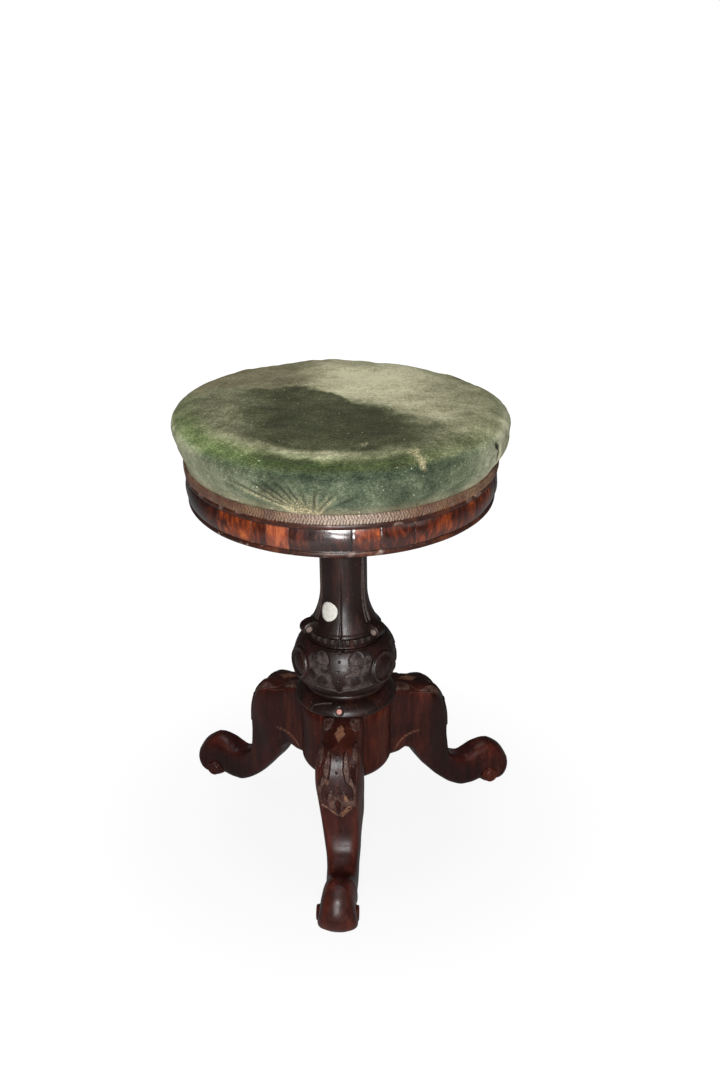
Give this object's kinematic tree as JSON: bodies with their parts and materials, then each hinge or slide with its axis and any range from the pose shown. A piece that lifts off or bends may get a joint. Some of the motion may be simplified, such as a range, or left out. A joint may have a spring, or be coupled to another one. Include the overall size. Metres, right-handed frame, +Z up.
{
  "type": "revolving piano stool",
  "caption": "Round stuffed stool whose seat turns and rises on a screw in a carved column on three scroll legs.",
  "frame": {"origin": "on the floor, on the axis of the column and the screw", "axes": "+Z up along the screw, -Y towards the front leg, +X to the right of someone who faces the front leg"},
  "size_m": [0.3879, 0.391, 0.5291],
  "materials": {
    "leg_wood": "old polished rosewood, worn and glossy",
    "column_wood": "nearly black polished rosewood",
    "peg_wood": "end grain of a pale dowel",
    "rim_veneer": "french polished rosewood crossband",
    "bead_wood": "polished dark moulding",
    "frame_wood": "bare sawn beech and pine",
    "iron": "dark oiled iron",
    "screw_steel": "dull steel",
    "washer_leather": "oiled sole leather",
    "velvet": "worn moss green velvet",
    "linen": "unbleached linen",
    "hair": "curled hair stuffing",
    "braid": "woven gimp braid, faded"
  },
  "bodies": {
    "base": {"leg_front": "leg_wood", "leg_left": "leg_wood", "leg_right": "leg_wood", "drum": "leg_wood", "collar": "column_wood", "collar_peg": "peg_wood", "column": "column_wood", "scroll_ear_left": "column_wood", "scroll_ear_right": "column_wood", "scroll_ear_rear": "column_wood", "column_nut": "iron", "nut_screws": "screw_steel"},
    "lift": {"leather_washer": "washer_leather"},
    "seat": {"screw_spindle": "iron", "seat_plate": "iron", "plate_screws": "screw_steel", "seat_board": "frame_wood", "rim_core": "frame_wood", "rim_bottom_bead": "bead_wood", "rim_veneers": "rim_veneer", "rim_top_bead": "bead_wood", "tacking_rail": "frame_wood", "horsehair_pad": "hair", "linen_undercover": "linen", "velvet_cover": "velvet", "cover_tacks": "screw_steel", "gimp_braid": "braid"}
  },
  "joints": [
    {"name": "seat_rise", "type": "slide", "parent": "base", "child": "lift", "axis": [0, 0, 1], "range_m": [0, 0.096]},
    {"name": "seat_turn", "type": "hinge", "parent": "lift", "child": "seat", "pos_m": [0, 0, 0.42], "axis": [0, 0, 1], "range_deg": [0, 4320]}
  ],
  "couplings": [
    {"joint": "seat_rise", "follows": "seat_turn", "m_per_rad": 0.0012732}
  ]
}
